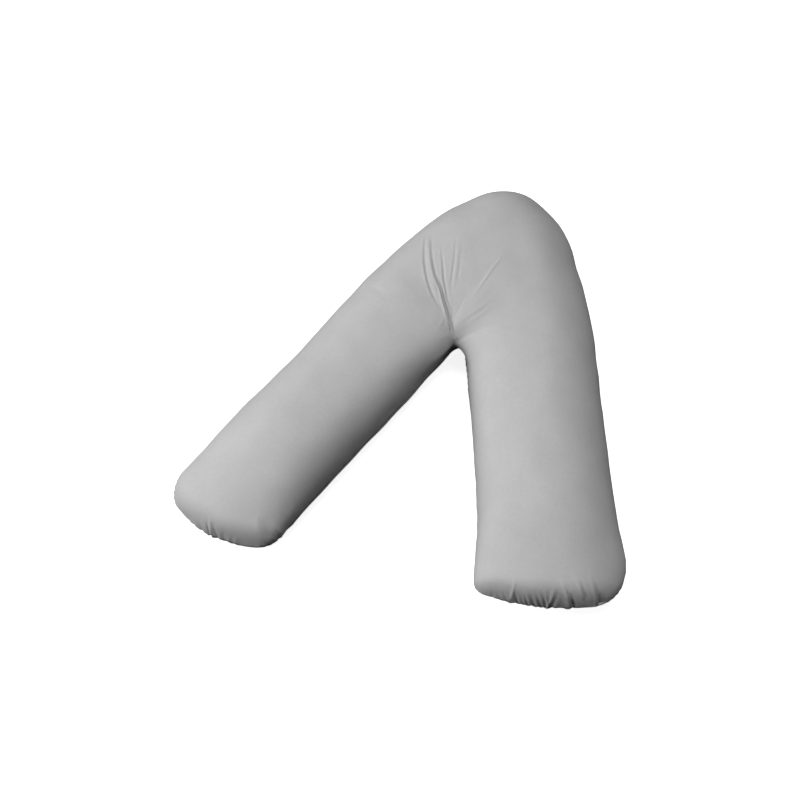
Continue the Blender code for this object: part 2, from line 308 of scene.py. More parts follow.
@dataclass
class PlumpBody:
    """The filled body, on the same sections as the solid, divided finely enough for its creases.

    The powers shape the top, the underside and the way both close on an end seam. sole_press flattens
    the underside on the floor, and lean_length is how far an end's bulge reaches up its arm. Each of the
    bend's stretches has a range of turn in degrees and its number of sections. crowding draws the points
    round a section away from its seams.
    """

    left_arm: Tuple[SectionRow, ...] = (
        SectionRow(0.000, 0.0155, 0.2195, 0.157, 3.6),
        SectionRow(0.170, 0.0190, 0.2165, 0.154, 3.1),
        SectionRow(0.345, 0.0240, 0.2225, 0.154, 2.8),
        SectionRow(0.496, 0.0235, 0.2285, 0.110, 2.8),
    )
    right_arm: Tuple[SectionRow, ...] = (
        SectionRow(0.000, 0.0120, 0.239, 0.154, 3.0),
        SectionRow(0.155, 0.0125, 0.238, 0.151, 2.7),
        SectionRow(0.315, 0.0105, 0.239, 0.149, 2.5),
        SectionRow(0.4615, -0.004, 0.250, 0.107, 2.5),
    )
    bend: Tuple[SectionRow, ...] = (
        SectionRow(0.0, 0.0155, 0.2195, 0.157, 3.6),
        SectionRow(17.5, 0.0160, 0.225, 0.157, 3.6),
        SectionRow(35.0, 0.0170, 0.254, 0.159, 3.6),
        SectionRow(52.5, 0.0185, 0.303, 0.162, 3.8),
        SectionRow(70.0, 0.0185, 0.356, 0.163, 4.2),
        SectionRow(87.5, 0.0175, 0.326, 0.162, 4.2),
        SectionRow(105.0, 0.0150, 0.275, 0.158, 3.8),
        SectionRow(122.5, 0.0125, 0.247, 0.155, 3.3),
        SectionRow(140.0, 0.0120, 0.239, 0.154, 3.0),
    )
    left_end: ArmEnd = ArmEnd(0.0215, 0.034, 0.0313, 0.0125, 0.033, 0.100)
    right_end: ArmEnd = ArmEnd(0.0164, 0.069, 0.0177, 0.0143, 0.031, 0.100)
    crown_power: float = 0.95
    outer_fullness: float = 2.0
    belly_power: float = 1.1
    belly_end_power: float = 1.3
    sole_press: float = 1.30
    end_power: float = 3.0
    closing_power: float = 0.62
    under_end_power: float = 2.2
    lean_length: float = 0.300
    near_length: float = 0.070
    near_sections: int = 20
    left_sections: int = 26
    right_sections: int = 23
    end_sections: int = 34
    bend_stretches: Tuple[Tuple[float, float, int], ...] = (
        (0.0, 14.0, 14), (14.0, 43.0, 56), (43.0, 54.0, 16),
        (54.0, 74.0, 14), (74.0, 84.0, 16), (84.0, BEND_ANGLE, 24),
    )
    points_round: int = 334
    crowding: float = 0.14
    lap: CrookLap = CrookLap()

    def arm_run(self, side: float, table: Tuple[SectionRow, ...], end: ArmEnd,
                straight_count: int) -> SectionRun:
        """Sections of one arm, from the crook to its end seam.

        Args:
            side: -1 for the left arm and 1 for the right.
            table: the arm's sections.
            end: how the arm ends.
            straight_count: how many sections lie between the stretch near the crook and the end's roll.

        Returns:
            The run of sections. Within the end's roll the top's height shrinks as 1 minus a power of the
            distance into the roll, all to the closing power, so that it closes on the seam. The
            underside closes over its own roll, as the square root of such a difference.
        """
        half = math.radians(HALF_ANGLE)
        ahead = np.array([side * math.sin(half), -math.cos(half)])
        across = np.array([side * math.cos(half), math.sin(half)])
        length = table[-1].place
        near = np.linspace(0.0, self.near_length, self.near_sections)[:-1]
        straight = np.linspace(self.near_length, length - end.roll, straight_count)[:-1]
        rolling = length - end.roll + end.roll * np.sin(np.linspace(0.0, math.pi / 2.0, self.end_sections))
        along = np.concatenate([near, straight, rolling])
        to_end = length - along
        into_roll = np.clip(1.0 - to_end / end.roll, 0.0, 1.0)
        into_under = np.clip(1.0 - to_end / end.under_roll, 0.0, 1.0)
        lean = np.clip(1.0 - to_end / self.lean_length, 0.0, 1.0) ** 2
        inner, outer = (smooth_column(table, name, along) for name in ("inner", "outer"))
        count = len(along)
        return SectionRun(
            base=along[:, None] * ahead,
            across=np.tile(across, (count, 1)),
            ahead=np.tile(ahead, (count, 1)),
            inner=inner + self.corner_inset(to_end, end.inner_corner),
            outer=outer - self.corner_inset(to_end, end.outer_corner),
            middle=(inner + outer) / 2.0,
            half=(outer - inner) / 2.0,
            crown=smooth_column(table, "crown", along),
            fullness=smooth_column(table, "fullness", along),
            closing=(1.0 - into_roll ** self.end_power) ** self.closing_power,
            under_closing=np.sqrt(1.0 - into_under ** self.under_end_power),
            bulge=end.bulge * lean,
            skew=end.skew * lean,
        )

    @staticmethod
    def corner_inset(to_end: np.ndarray, radius: float) -> np.ndarray:
        """How far a round corner draws the seam in, at a distance from the end of the arm."""
        inside = np.clip(1.0 - to_end / radius, 0.0, 1.0)
        return radius * (1.0 - np.sqrt(1.0 - inside * inside))

    def bend_run(self) -> SectionRun:
        """Sections of the bend, fanned about the crook.

        Returns:
            The run from the left arm's side to the right arm's, without the first section and the last
            one, which belong to the arms.
        """
        stretches = [np.linspace(low, high, count + 1)[1:] for low, high, count in self.bend_stretches]
        turns = np.concatenate(stretches)[:-1]
        heading = np.radians(180.0 - HALF_ANGLE - turns)
        count = len(turns)
        return SectionRun(
            base=np.zeros((count, 2)),
            across=np.stack([np.cos(heading), np.sin(heading)], axis=1),
            ahead=np.zeros((count, 2)),
            inner=smooth_column(self.bend, "inner", turns),
            outer=smooth_column(self.bend, "outer", turns),
            middle=np.zeros(count),
            half=np.ones(count),
            crown=smooth_column(self.bend, "crown", turns),
            fullness=smooth_column(self.bend, "fullness", turns),
            closing=np.ones(count),
            under_closing=np.ones(count),
            bulge=np.zeros(count),
            skew=np.zeros(count),
        )

    def run(self) -> SectionRun:
        """All the sections, from the left end seam round the bend to the right end seam."""
        left = self.arm_run(-1.0, self.left_arm, self.left_end, self.left_sections)
        right = self.arm_run(1.0, self.right_arm, self.right_end, self.right_sections)
        return SectionRun.joined([left.reversed(), self.bend_run(), right])

    def surface(self, run: SectionRun) -> np.ndarray:
        """Points of the smooth body, measured from the crook.

        Args:
            run: the body's sections.

        Returns:
            A row of points round each section. Their plan offset follows the cosine of an angle round
            it. Over the seam the height is the crown's arch, and under it the angle's sine to the
            belly's power, pressed flat at the floor. At an end both shrink with the section's closing.
        """
        turned = np.linspace(0.0, 2.0 * math.pi, self.points_round, endpoint=False)
        angle = turned + self.crowding * np.sin(2.0 * turned)
        over = np.cos(angle)
        lift = np.abs(np.sin(angle))
        offset = (run.outer + run.inner)[:, None] / 2.0 + (run.outer - run.inner)[:, None] / 2.0 * over
        aside = (offset - run.middle[:, None]) / run.half[:, None]
        forward = run.bulge[:, None] * (1.0 - aside ** 2) + run.skew[:, None] * aside
        sideways = run.across[:, None] * offset[..., None]
        plan = run.base[:, None] + sideways + run.ahead[:, None] * forward[..., None]
        arch = self.arch(over, run.fullness[:, None])
        rise = (run.crown - SEAM_HEIGHT)[:, None] * arch * run.closing[:, None]
        under_lift = lift ** self.belly_power * run.under_closing[:, None] ** self.belly_end_power
        drop = SEAM_HEIGHT * np.minimum(1.0, self.sole_press * under_lift)
        height = np.where(np.sin(angle) >= 0.0, SEAM_HEIGHT + rise, SEAM_HEIGHT - drop)
        return self.lap.moved(np.concatenate([plan, height[..., None]], axis=2))

    def arch(self, over: np.ndarray, inner_fullness: np.ndarray) -> np.ndarray:
        """Height of the top, from 0 at the seams to 1 at the crown.

        Args:
            over: place across the section, from -1 at the inner seam to 1 at the outer one.
            inner_fullness: fullness at the inner seam; it falls to the outer seam's with the square of
                the distance from that seam.

        Returns:
            1 minus the place to the power of the fullness, all to the power of the crown's power over
            the fullness.
        """
        fullness = self.outer_fullness + (inner_fullness - self.outer_fullness) * ((1.0 - over) / 2.0) ** 2
        return (1.0 - np.abs(over) ** fullness) ** (self.crown_power / fullness)

    def crown_height(self, turn: np.ndarray, reach: np.ndarray) -> np.ndarray:
        """Height of the smooth top at places round the crook.

        Args:
            turn: degrees of turn from the left arm's side.
            reach: metres from the crook, in plan.

        Returns:
            The height there of the top of the section at that turn, or of the nearest one on an arm. It
            is the seam's height past either seam.
        """
        nearest = np.clip(turn, 0.0, BEND_ANGLE)
        inner, outer, crown, fullness = (
            smooth_column(self.bend, name, nearest) for name in ("inner", "outer", "crown", "fullness"))
        offset = reach * np.cos(np.radians(turn - nearest))
        over = np.clip((2.0 * offset - outer - inner) / (outer - inner), -1.0, 1.0)
        return SEAM_HEIGHT + (crown - SEAM_HEIGHT) * self.arch(over, fullness)


@dataclass
class Creases:
    """The creases that run out from the crook, and the wrinkles on the left arm.

    A fold's line has as many points as steps says, and it moves the cloth within reach_margin widths of
    it. The ridge beside its trough has a share of the depth and stands ridge_place widths away. It takes
    the first of the ridge_side factors on the fold's ridge side and the second on the other.
    """

    top: Tuple[Fold, ...] = (
        # The broad valley, the main crease in it, and the ridge and the long crease beside that one
        Fold(((34.0, 0.180, 0.0), (32.0, 0.140, 0.0010), (31.0, 0.095, 0.0014), (33.0, 0.055, 0.0010),
              (35.0, 0.020, 0.0)), 0.034),
        Fold(((37.8, 0.189, 0.0), (36.8, 0.1765, 0.0006), (35.0, 0.1585, 0.0009), (32.8, 0.135, 0.0014),
              (30.8, 0.1145, 0.0022), (30.0, 0.096, 0.0036), (29.5, 0.0805, 0.0052),
              (27.8, 0.0685, 0.0058), (26.0, 0.0575, 0.0058), (24.0, 0.048, 0.0056),
              (15.0, 0.0385, 0.0054), (-0.5, 0.0315, 0.0050), (-17.0, 0.0265, 0.0044),
              (-26.2, 0.022, 0.0036), (-34.0, 0.018, 0.0)), 0.0024, Ridge.LEFT),
        Fold(((36.6, 0.196, 0.0), (35.8, 0.184, -0.0006), (32.1, 0.151, -0.0009), (28.8, 0.124, -0.0011),
              (25.3, 0.100, -0.0010), (22.3, 0.082, -0.0008), (19.4, 0.066, -0.0004),
              (17.0, 0.054, 0.0)), 0.0034),
        Fold(((35.3, 0.200, 0.0), (34.6, 0.190, 0.0008), (32.8, 0.177, 0.0012), (29.4, 0.154, 0.0015),
              (25.1, 0.127, 0.0017), (20.8, 0.1035, 0.0014), (17.3, 0.085, 0.0010),
              (13.6, 0.066, 0.0005), (10.5, 0.053, 0.0)), 0.0024, Ridge.LEFT),
        # Finer creases towards the middle of the bend
        Fold(((42.6, 0.168, 0.0), (41.2, 0.1505, 0.0005), (40.0, 0.134, 0.0011), (38.8, 0.1175, 0.0013),
              (37.0, 0.100, 0.0013), (35.8, 0.087, 0.0012), (34.8, 0.0745, 0.0013),
              (34.0, 0.0635, 0.0010), (35.0, 0.0535, 0.0005), (37.5, 0.0455, 0.0)), 0.0022, Ridge.LEFT),
        Fold(((51.0, 0.178, 0.0), (50.6, 0.169, 0.0004), (49.4, 0.139, 0.0008), (47.3, 0.115, 0.0009),
              (44.6, 0.095, 0.0009), (41.3, 0.076, 0.0)), 0.0022),
        Fold(((54.6, 0.166, 0.0), (54.2, 0.156, 0.0004), (53.0, 0.125, 0.0006), (51.6, 0.102, 0.0006),
              (50.4, 0.088, 0.0)), 0.0024),
        # Ridges and a short crease round to the right arm's side
        Fold(((81.2, 0.166, 0.0), (80.9, 0.156, -0.0003), (80.4, 0.144, -0.0006), (79.6, 0.1275, -0.0009),
              (78.6, 0.107, -0.0010), (77.6, 0.0895, -0.0008), (76.5, 0.0735, -0.0004),
              (75.4, 0.061, 0.0)), 0.0026, Ridge.LEFT),
        Fold(((65.5, 0.071, 0.0), (65.0, 0.0605, 0.0004), (63.8, 0.050, 0.0005),
              (64.4, 0.041, 0.0)), 0.0026),
        Fold(((99.8, 0.092, 0.0), (99.4, 0.083, -0.0004), (98.4, 0.067, -0.0006), (95.4, 0.0515, -0.0006),
              (91.0, 0.040, 0.0)), 0.0028),
        Fold(((107.6, 0.077, 0.0), (107.3, 0.066, -0.0004), (107.0, 0.052, -0.0006),
              (105.3, 0.040, 0.0)), 0.0028),
        # Ridges and a wrinkle on the left arm's side
        Fold(((10.0, 0.052, 0.0), (2.0, 0.044, -0.0004), (-15.6, 0.0436, -0.0006),
              (-36.0, 0.050, 0.0)), 0.0026),
        Fold(((-48.0, 0.048, 0.0), (-44.0, 0.039, -0.0006), (-36.0, 0.029, -0.0006),
              (-25.0, 0.023, 0.0)), 0.0022),
        Fold(((-35.0, 0.038, 0.0), (-31.0, 0.033, -0.0005), (-21.0, 0.025, -0.0006),
              (-5.0, 0.019, 0.0)), 0.0022),
        Fold(((-6.0, 0.190, 0.0), (-8.0, 0.174, 0.0006), (-11.0, 0.152, 0.0007),
              (-16.0, 0.126, 0.0)), 0.0060),
    )
    under: Tuple[Fold, ...] = (
        Fold(((50.0, 0.185, 0.0), (47.0, 0.150, 0.0035), (44.0, 0.110, 0.0060), (42.0, 0.066, 0.0055),
              (40.0, 0.024, 0.0)), 0.0065),
        Fold(((62.0, 0.130, 0.0), (59.0, 0.100, 0.0020), (58.0, 0.070, 0.0030),
              (60.0, 0.030, 0.0)), 0.0050),
        Fold(((91.0, 0.150, 0.0), (94.0, 0.115, 0.0030), (97.0, 0.070, 0.0050),
              (100.0, 0.024, 0.0)), 0.0058),
    )
    steps: int = 120
    reach_margin: float = 5.0
    ridge_share: float = 0.25
    ridge_place: float = 1.7
    ridge_side: Tuple[float, float] = (1.45, 0.40)

    def curve(self, fold: Fold, panel: Panel, body: PlumpBody) -> Tuple[np.ndarray, np.ndarray]:
        """The line that a fold follows.

        Args:
            fold: the fold.
            panel: the panel that it runs on.
            body: the smooth body.

        Returns:
            Points along the fold, on the smooth top or on the floor, and its depth at each.
        """
        turn, reach, depth = curve_through(np.array(fold.places), self.steps).T
        heading = np.radians(180.0 - HALF_ANGLE - turn)
        height = body.crown_height(turn, reach) if panel is Panel.TOP else np.zeros(self.steps)
        curve = np.stack([reach * np.cos(heading), reach * np.sin(heading), height], axis=1)
        return body.lap.moved(curve), depth

    def fold_depth(self, points: np.ndarray, fold: Fold, panel: Panel, body: PlumpBody) -> np.ndarray:
        """Depth of one fold at points on the body.

        Args:
            points: grid of points.
            fold: the fold.
            panel: the panel that it runs on.
            body: the smooth body.

        Returns:
            Depth at each point. Across the fold it is a bell-shaped trough with a softer ridge beside
            it, higher on the fold's ridge side, and along the fold it follows the depth at its places.
        """
        curve, depths = self.curve(fold, panel, body)
        margin = self.reach_margin * fold.width
        low, high = curve[:, :2].min(axis=0) - margin, curve[:, :2].max(axis=0) + margin
        rows, columns = np.nonzero(np.all((points[..., :2] > low) & (points[..., :2] < high), axis=2))
        chosen = points[rows, columns]
        gap = chosen[:, None] - curve[None]
        nearest = np.argmin(np.sum(gap ** 2, axis=2), axis=1)
        offset = gap[np.arange(len(chosen)), nearest]
        tangent = np.gradient(curve, axis=0)[nearest]
        length = np.linalg.norm(tangent, axis=1)
        ahead = np.sum(offset * tangent, axis=1) / length
        away = np.sqrt(np.maximum(np.sum(offset ** 2, axis=1) - ahead ** 2, 0.0))
        at = np.clip(nearest + ahead / length, 0.0, self.steps - 1.0)
        beyond = np.abs(nearest + ahead / length - at) * length
        side = np.sign(tangent[:, 0] * offset[:, 1] - tangent[:, 1] * offset[:, 0])
        u = np.hypot(away, beyond) / fold.width
        ridge = np.exp(-(u - self.ridge_place) ** 2) * self.ridge_share * np.clip(u, 0.0, 1.0)
        if fold.ridge is not Ridge.BOTH:
            more, less = self.ridge_side
            ridge = ridge * np.where(side * fold.ridge.value > 0.0, more, less)
        depth = np.zeros(points.shape[:2])
        depth[rows, columns] = np.interp(at, np.arange(self.steps), depths) * (np.exp(-u * u) - ridge)
        return depth

    def depth(self, points: np.ndarray, body: PlumpBody) -> np.ndarray:
        """Depth of all the folds.

        Args:
            points: grid of points on the smooth body.
            body: the smooth body.

        Returns:
            The sum of the folds at each point, the top's over the side seam and the underside's below.
        """
        over_seam = points[..., 2] > SEAM_HEIGHT
        top = sum(self.fold_depth(points, fold, Panel.TOP, body) for fold in self.top)
        under = sum(self.fold_depth(points, fold, Panel.UNDER, body) for fold in self.under)
        return np.where(over_seam, top, under)


@dataclass
class EndGathers:
    """Gathers of the cloth at the two end seams.

    peak is the power that brings a gather's deepest place down near its foot, and fade the power that
    thins out its two ends.
    """

    left: Tuple[Gather, ...] = (
        Gather(0.162, 0.034, 0.0030, 0.0008, 0.50),
        Gather(0.150, 0.040, 0.0028, 0.0012, 0.50),
        Gather(0.133, 0.034, 0.0030, 0.0016, 0.35),
        Gather(0.119, 0.036, 0.0024, -0.0012, 0.39),
        Gather(0.118, 0.038, 0.0022, 0.0016, 0.23),
        Gather(0.113, 0.050, 0.0022, -0.0014, 0.20),
        Gather(0.104, 0.038, 0.0022, 0.0020, 0.29),
        Gather(0.092, 0.030, 0.0026, 0.0010, 0.14),
        Gather(0.085, 0.026, 0.0024, -0.0008, -0.05),
        Gather(0.0745, 0.030, 0.0024, -0.0008, -0.03),
        Gather(0.028, 0.100, 0.0035, -0.0006, 0.44, 0.040),
        Gather(0.011, 0.085, 0.0060, 0.0018, 0.49, 0.035),
        Gather(-0.013, 0.085, 0.0026, -0.0012, 0.74, 0.040),
        Gather(-0.026, 0.095, 0.0060, 0.0016, 0.74, 0.055),
        Gather(0.0155, 0.110, 0.0030, -0.0010, 0.15, 0.062),
    )
    right: Tuple[Gather, ...] = (
        Gather(0.026, 0.030, 0.0028, 0.0008, -0.12),
        Gather(0.036, 0.028, 0.0026, 0.0006, -0.20),
        Gather(0.048, 0.030, 0.0028, 0.0010, -0.31),
        Gather(0.052, 0.062, 0.0026, -0.0014, 0.14, 0.006),
        Gather(0.064, 0.036, 0.0024, 0.0024, -0.18),
        Gather(0.074, 0.034, 0.0022, 0.0008, -0.25),
        Gather(0.076, 0.040, 0.0022, -0.0006, -0.10),
        Gather(0.081, 0.028, 0.0020, 0.0014, -0.30),
        Gather(0.0845, 0.038, 0.0022, -0.0012, -0.25),
        Gather(0.090, 0.034, 0.0022, 0.0018, -0.21),
        Gather(0.0965, 0.040, 0.0022, -0.0014, -0.26),
        Gather(0.1015, 0.034, 0.0022, 0.0014, -0.24),
        Gather(0.1055, 0.048, 0.0022, -0.0012, -0.24),
        Gather(0.1085, 0.036, 0.0022, 0.0018, -0.16),
        Gather(0.1125, 0.050, 0.0022, -0.0014, -0.16),
        Gather(0.1155, 0.038, 0.0020, 0.0010, -0.13),
        Gather(0.1115, 0.056, 0.0026, -0.0016, 0.17),
        Gather(0.1175, 0.044, 0.0030, 0.0014, 0.19),
        Gather(0.134, 0.040, 0.0060, 0.0010, -0.10),
        Gather(0.149, 0.074, 0.0026, -0.0018, -0.26),
        Gather(0.154, 0.044, 0.0028, 0.0036, -0.20),
        Gather(0.177, 0.076, 0.0026, -0.0014, -0.31, 0.028),
        Gather(0.179, 0.066, 0.0026, 0.0012, -0.25, 0.030),
        Gather(0.188, 0.066, 0.0026, -0.0008, -0.29, 0.022),
        Gather(0.194, 0.078, 0.0026, -0.0018, -0.22, 0.014),
        Gather(0.198, 0.066, 0.0030, 0.0030, -0.17),
        Gather(0.206, 0.050, 0.0060, 0.0024, -0.20, 0.010),
    )
    peak: float = 0.5
    fade: float = 1.1

    def gather_depth(self, offset: np.ndarray, up_cloth: np.ndarray, gather: Gather) -> np.ndarray:
        """Depth of one gather.

        Args:
            offset: place across the arm.
            up_cloth: length over the cloth from the end seam.
            gather: the gather.

        Returns:
            Its depth at each point: a bell across it, times a power of the sine of the place up it, which
            is itself to a power.
        """
        u = np.abs(offset - gather.across - gather.lean * up_cloth) / gather.width
        v = np.clip((up_cloth - gather.foot) / (gather.top - gather.foot), 0.0, 1.0)
        along = np.maximum(np.sin(math.pi * v ** self.peak), 0.0) ** self.fade
        return gather.depth * along * np.exp(-u * u)

    def depth(self, points: np.ndarray, run: SectionRun) -> np.ndarray:
        """Depth of all the gathers.

        Args:
            points: grid of points on the smooth body.
            run: its sections.

        Returns:
            The sum of the gathers at each point, measured up the cloth from each end seam.
        """
        from_left = length_along(points)
        from_right = from_left[-1] - from_left
        offset = np.sum((points[..., :2] - run.base[:, None]) * run.across[:, None], axis=2)
        left = sum(self.gather_depth(offset, from_left, gather) for gather in self.left)
        right = sum(self.gather_depth(offset, from_right, gather) for gather in self.right)
        return left + right


@dataclass
class SideSeam:
    """The seam of the two panels: a fine groove with the cloth drawn up beside it.

    The puckers' pitch wanders and their depth swells, both in slow waves along the seam, so that no two
    of them are alike.
    """

    groove_width: float = 0.0016
    groove_depth: float = 0.0006
    pucker_reach: float = 0.012
    pucker_depth: float = 0.0006
    pucker_pitch: float = 0.011
    wander: float = 2.2
    wander_waves: float = 37.0
    swell: float = 0.35
    swell_waves: float = 23.0
    swell_start: float = 1.3

    @staticmethod
    def distance(points: np.ndarray) -> np.ndarray:
        """Distance over the cloth from the side seam.

        Args:
            points: grid of points whose first and middle lines are the side seam.

        Returns:
            The shortest of the lengths round the section to the first line, either way, and to the
            middle one.
        """
        count = points.shape[1]
        gone = length_round(points)
        half = gone[:, count // 2][:, None]
        whole = gone[:, count][:, None]
        here = gone[:, :count]
        return np.minimum(np.minimum(here, whole - here), np.abs(here - half))

    def depth(self, points: np.ndarray) -> np.ndarray:
        """Depth of the groove and of the uneven puckers beside it.

        Args:
            points: grid of points on the smooth body.

        Returns:
            The groove, a bell across the seam, plus the puckers, a wider bell across it times a sine
            along it whose phase and height change in slower sines.
        """
        away = self.distance(points)
        along = length_along(points)
        phase = 2.0 * math.pi * along / self.pucker_pitch + self.wander * np.sin(along * self.wander_waves)
        swelling = 1.0 - self.swell + self.swell * np.sin(along * self.swell_waves + self.swell_start)
        groove = self.groove_depth * np.exp(-(away / self.groove_width) ** 2)
        pucker = self.pucker_depth * (np.sin(phase) * swelling) * np.exp(-(away / self.pucker_reach) ** 2)
        return groove + pucker


@dataclass
class Filling:
    """The filling: soft lumps under the cloth, as a sum of waves in many directions."""

    seed: int = 11
    waves: int = 26
    shortest: float = 0.055
    longest: float = 0.190
    lump: float = 0.0006

    def depth(self, points: np.ndarray) -> np.ndarray:
        """Depth of the lumps.

        Args:
            points: grid of points on the smooth body.

        Returns:
            A sum of cosine waves with seeded directions, lengths and phases, scaled to the lump's size.
        """
        rng = np.random.default_rng(self.seed)
        total = np.zeros(points.shape[:2])
        for _ in range(self.waves):
            direction = rng.normal(size=3)
            direction /= np.linalg.norm(direction)
            length = rng.uniform(self.shortest, self.longest)
            phase = rng.uniform(0.0, 2.0 * math.pi)
            total += np.cos(points @ direction * 2.0 * math.pi / length + phase)
        return self.lump * total / math.sqrt(self.waves / 2.0)


@dataclass
class Pillow:
    """The whole pillow: a filled body of two cloth panels.

    seam_grip is the width beside the side seam within which all but the seam's own depths fade away, and
    crook is the crook's place in the frame once the pillow is built.
    """

    name: str = "pillow_cloth"
    body: PlumpBody = field(default_factory=PlumpBody)
    creases: Creases = field(default_factory=Creases)
    gathers: EndGathers = field(default_factory=EndGathers)
    seam: SideSeam = field(default_factory=SideSeam)
    filling: Filling = field(default_factory=Filling)
    seam_grip: float = 0.004
    crook: Tuple[float, float] = (0.0, 0.0)

    def points(self) -> Tuple[np.ndarray, SectionRun]:
        """The finished surface.

        Returns:
            A grid of points, measured from the crook, and its sections. Each point is the smooth body's,
            moved in along its normal by the sum of all the depths and kept above the floor.
        """
        run = self.body.run()
        smooth = self.body.surface(run)
        free = np.clip(self.seam.distance(smooth) / self.seam_grip, 0.0, 1.0)
        depth = self.creases.depth(smooth, self.body) + self.gathers.depth(smooth, run)
        depth = (depth + self.filling.depth(smooth)) * free + self.seam.depth(smooth)
        moved = smooth - surface_normals(smooth) * depth[..., None]
        moved[..., 2] = np.maximum(moved[..., 2], 0.0)
        return moved, run

    @staticmethod
    def faces(sections: int, count: int) -> np.ndarray:
        """Corners of the faces, with the two panels welded along both end seams.

        Args:
            sections: how many sections the grid has.
            count: how many points each section has.

        Returns:
            Four point numbers for each face. On an end seam a point of the underside has the number of
            the top's point over it.
        """
        number = np.arange(sections * count).reshape(sections, count)
        partner = (-np.arange(count)) % count
        for end in (0, sections - 1):
            number[end] = np.minimum(number[end], number[end][partner])
        following = np.roll(number, -1, axis=1)
        return np.stack([number[:-1], following[:-1], following[1:], number[1:]], axis=2).reshape(-1, 4)

    @staticmethod
    def cut_places(points: np.ndarray, run: SectionRun) -> np.ndarray:
        """Place of each corner column on the flat cloth it was cut from, in metres.

        Args:
            points: the finished surface.
            run: its sections.

        Returns:
            Two coordinates for each section and each column of each panel. Across a section the place is
            the inner seam's plan place plus the length over the cloth from there, and along an arm it is
            the plan place plus what the roll to the end seam adds to its length.
        """
        count = points.shape[1]
        gone = length_round(points)
        from_inner = np.abs(gone - gone[:, count // 2][:, None])
        steps = np.diff(np.concatenate([points, points[:, :1]], axis=1), axis=0)
        on_arm = np.any(run.ahead != 0.0, axis=1)
        added = np.linalg.norm(steps, axis=2) - np.linalg.norm(steps[..., :2], axis=2)
        added *= (on_arm[:-1] & on_arm[1:])[:, None]
        total = np.concatenate([np.zeros((1, count + 1)), np.cumsum(added, axis=0)], axis=0)
        added_ahead = np.abs(total - total[len(points) // 2])
        offset = run.inner[:, None] + from_inner
        plan = run.base[:, None] + run.across[:, None] * offset[..., None]
        return plan + run.ahead[:, None] * added_ahead[..., None]

    def seam_distance(self, points: np.ndarray) -> np.ndarray:
        """Distance over the cloth from the nearest seam, side or end."""
        from_left = length_along(points)
        return np.minimum(self.seam.distance(points), np.minimum(from_left, from_left[-1] - from_left))

    def mesh(self, points: np.ndarray, run: SectionRun) -> bpy.types.Mesh:
        """The cloth's mesh.

        Args:
            points: the finished surface.
            run: its sections.

        Returns:
            A mesh of four-cornered faces. Its UV map is the place of each corner on the flat cloth, and
            its attribute is each vertex's distance from the nearest seam.
        """
        faces = self.faces(*points.shape[:2])
        used, corners = np.unique(faces, return_inverse=True)
        mesh = bpy.data.meshes.new(self.name)
        mesh.vertices.add(len(used))
        mesh.vertices.foreach_set("co", points.reshape(-1, 3)[used].astype(np.float32).ravel())
        mesh.loops.add(faces.size)
        mesh.loops.foreach_set("vertex_index", corners.astype(np.int32).ravel())
        mesh.polygons.add(len(faces))
        mesh.polygons.foreach_set("loop_start", np.arange(0, faces.size, 4, dtype=np.int32))
        mesh.update(calc_edges=True)
        places = self.cut_places(points, run)
        quads = np.stack([places[:-1, :-1], places[:-1, 1:], places[1:, 1:], places[1:, :-1]], axis=2)
        uv_map = mesh.uv_layers.new(name=CLOTH_PLACE)
        uv_map.uv.foreach_set("vector", quads.astype(np.float32).ravel())
        away = mesh.attributes.new(SEAM_AWAY, "FLOAT", "POINT")
        away.data.foreach_set("value", self.seam_distance(points).ravel()[used].astype(np.float32))
        mesh.validate()
        mesh.shade_smooth()
        return mesh

    def build(self) -> bpy.types.Object:
        """Make the pillow's object, with the middle of its plan at the origin.

        Returns:
            The object, at the origin, with its place in its mesh.
        """
        points, run = self.points()
        flat = points.reshape(-1, 3)
        middle = (flat.min(axis=0) + flat.max(axis=0)) / 2.0
        self.crook = (-middle[0], -middle[1])
        points = points - np.array([middle[0], middle[1], 0.0])
        piece = bpy.data.objects.new(self.name, self.mesh(points, run))
        bpy.context.scene.collection.objects.link(piece)
        return piece


# What may feed a shader socket
Feed = Union[bpy.types.NodeSocket, float, Sequence[float]]


@dataclass(frozen=True)
class Grain:
    """How a Noise node looks: its scale for each metre, its detail and its roughness."""

    scale: float
    detail: float
    roughness: float = 0.5


